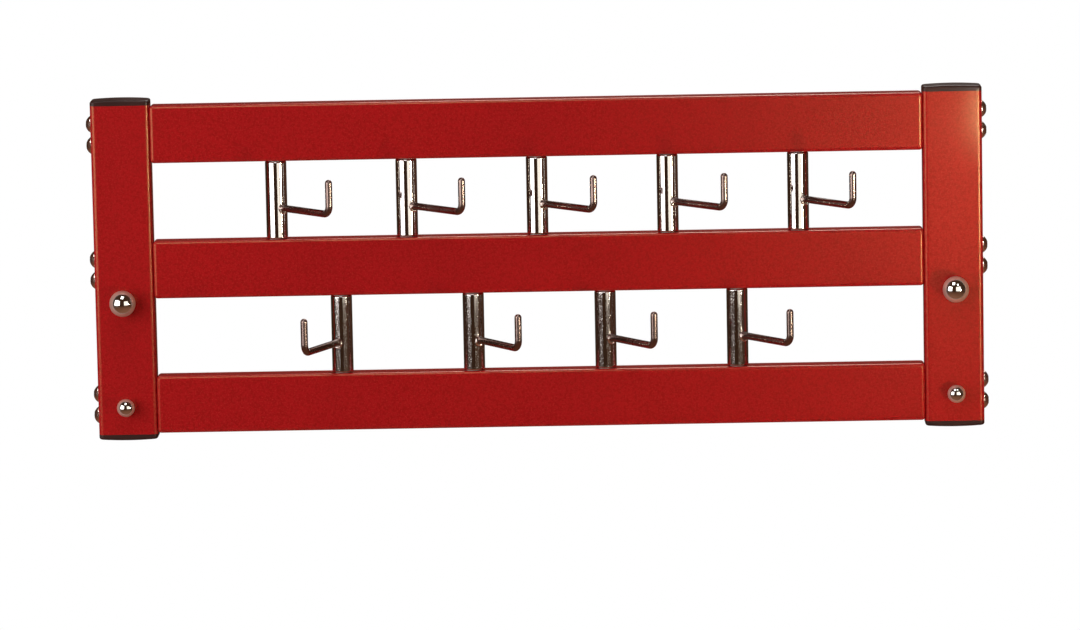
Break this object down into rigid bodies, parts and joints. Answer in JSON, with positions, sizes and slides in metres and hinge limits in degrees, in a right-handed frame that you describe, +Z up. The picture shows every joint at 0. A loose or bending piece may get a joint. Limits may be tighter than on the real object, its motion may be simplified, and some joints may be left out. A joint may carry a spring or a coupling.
{
  "type": "wall coat hook rack",
  "caption": "Wall-mounted coat hook rack: painted steel posts and rails carrying plated tubes, each with a bent rod hook that swivels about its tube's axis.",
  "frame": {"origin": "on the wall plane, midway between the two upper wall-screw holes", "axes": "+X along the rails to the viewer's right, +Y into the wall, +Z up; the hooks face -Y"},
  "size_m": [0.758, 0.0852, 0.29],
  "materials": {
    "red_paint": "smooth gloss powder coat",
    "cap_plastic": "fine matt moulded",
    "ball_chrome": "polished",
    "screw_chrome": "bright plated",
    "nut_zinc": "zinc plated",
    "tube_chrome": "polished",
    "rod_chrome": "polished",
    "plug_steel": "turned",
    "pivot_steel": "plain",
    "washer_nylon": "natural"
  },
  "bodies": {
    "frame": {"left_post": "red_paint", "left_top_cap": "cap_plastic", "left_bottom_cap": "cap_plastic", "left_large_ball": "ball_chrome", "left_small_ball": "ball_chrome", "left_frame_screws": "screw_chrome", "left_frame_nuts": "nut_zinc", "right_post": "red_paint", "right_top_cap": "cap_plastic", "right_bottom_cap": "cap_plastic", "right_large_ball": "ball_chrome", "right_small_ball": "ball_chrome", "right_frame_screws": "screw_chrome", "right_frame_nuts": "nut_zinc", "bottom_rail": "red_paint", "middle_rail": "red_paint", "top_rail": "red_paint", "upper_washers": "washer_nylon", "lower_washers": "washer_nylon"},
    "upper_1_hook": {"upper_1_tube": "tube_chrome", "upper_1_rod": "rod_chrome", "upper_1_plugs": "plug_steel", "upper_1_pivots": "pivot_steel"},
    "upper_2_hook": {"upper_2_tube": "tube_chrome", "upper_2_rod": "rod_chrome", "upper_2_plugs": "plug_steel", "upper_2_pivots": "pivot_steel"},
    "upper_3_hook": {"upper_3_tube": "tube_chrome", "upper_3_rod": "rod_chrome", "upper_3_plugs": "plug_steel", "upper_3_pivots": "pivot_steel"},
    "upper_4_hook": {"upper_4_tube": "tube_chrome", "upper_4_rod": "rod_chrome", "upper_4_plugs": "plug_steel", "upper_4_pivots": "pivot_steel"},
    "upper_5_hook": {"upper_5_tube": "tube_chrome", "upper_5_rod": "rod_chrome", "upper_5_plugs": "plug_steel", "upper_5_pivots": "pivot_steel"},
    "lower_1_hook": {"lower_1_tube": "tube_chrome", "lower_1_rod": "rod_chrome", "lower_1_plugs": "plug_steel", "lower_1_pivots": "pivot_steel"},
    "lower_2_hook": {"lower_2_tube": "tube_chrome", "lower_2_rod": "rod_chrome", "lower_2_plugs": "plug_steel", "lower_2_pivots": "pivot_steel"},
    "lower_3_hook": {"lower_3_tube": "tube_chrome", "lower_3_rod": "rod_chrome", "lower_3_plugs": "plug_steel", "lower_3_pivots": "pivot_steel"},
    "lower_4_hook": {"lower_4_tube": "tube_chrome", "lower_4_rod": "rod_chrome", "lower_4_plugs": "plug_steel", "lower_4_pivots": "pivot_steel"}
  },
  "joints": [
    {"name": "upper_1_swivel", "type": "hinge", "parent": "frame", "child": "upper_1_hook", "pos_m": [-0.22, -0.015, 0.084], "axis": [0, 0, 1], "range_deg": [-138, 58]},
    {"name": "upper_2_swivel", "type": "hinge", "parent": "frame", "child": "upper_2_hook", "pos_m": [-0.11, -0.015, 0.084], "axis": [0, 0, 1], "range_deg": [-139, 57]},
    {"name": "upper_3_swivel", "type": "hinge", "parent": "frame", "child": "upper_3_hook", "pos_m": [0, -0.015, 0.084], "axis": [0, 0, 1], "range_deg": [-139, 57]},
    {"name": "upper_4_swivel", "type": "hinge", "parent": "frame", "child": "upper_4_hook", "pos_m": [0.11, -0.015, 0.084], "axis": [0, 0, 1], "range_deg": [-138, 58]},
    {"name": "upper_5_swivel", "type": "hinge", "parent": "frame", "child": "upper_5_hook", "pos_m": [0.22, -0.015, 0.084], "axis": [0, 0, 1], "range_deg": [-135, 61]},
    {"name": "lower_1_swivel", "type": "hinge", "parent": "frame", "child": "lower_1_hook", "pos_m": [-0.16725, -0.015, -0.031], "axis": [0, 0, 1], "range_deg": [-75, 121]},
    {"name": "lower_2_swivel", "type": "hinge", "parent": "frame", "child": "lower_2_hook", "pos_m": [-0.05575, -0.015, -0.031], "axis": [0, 0, 1], "range_deg": [-130, 66]},
    {"name": "lower_3_swivel", "type": "hinge", "parent": "frame", "child": "lower_3_hook", "pos_m": [0.05575, -0.015, -0.031], "axis": [0, 0, 1], "range_deg": [-132, 64]},
    {"name": "lower_4_swivel", "type": "hinge", "parent": "frame", "child": "lower_4_hook", "pos_m": [0.16725, -0.015, -0.031], "axis": [0, 0, 1], "range_deg": [-134, 62]}
  ]
}
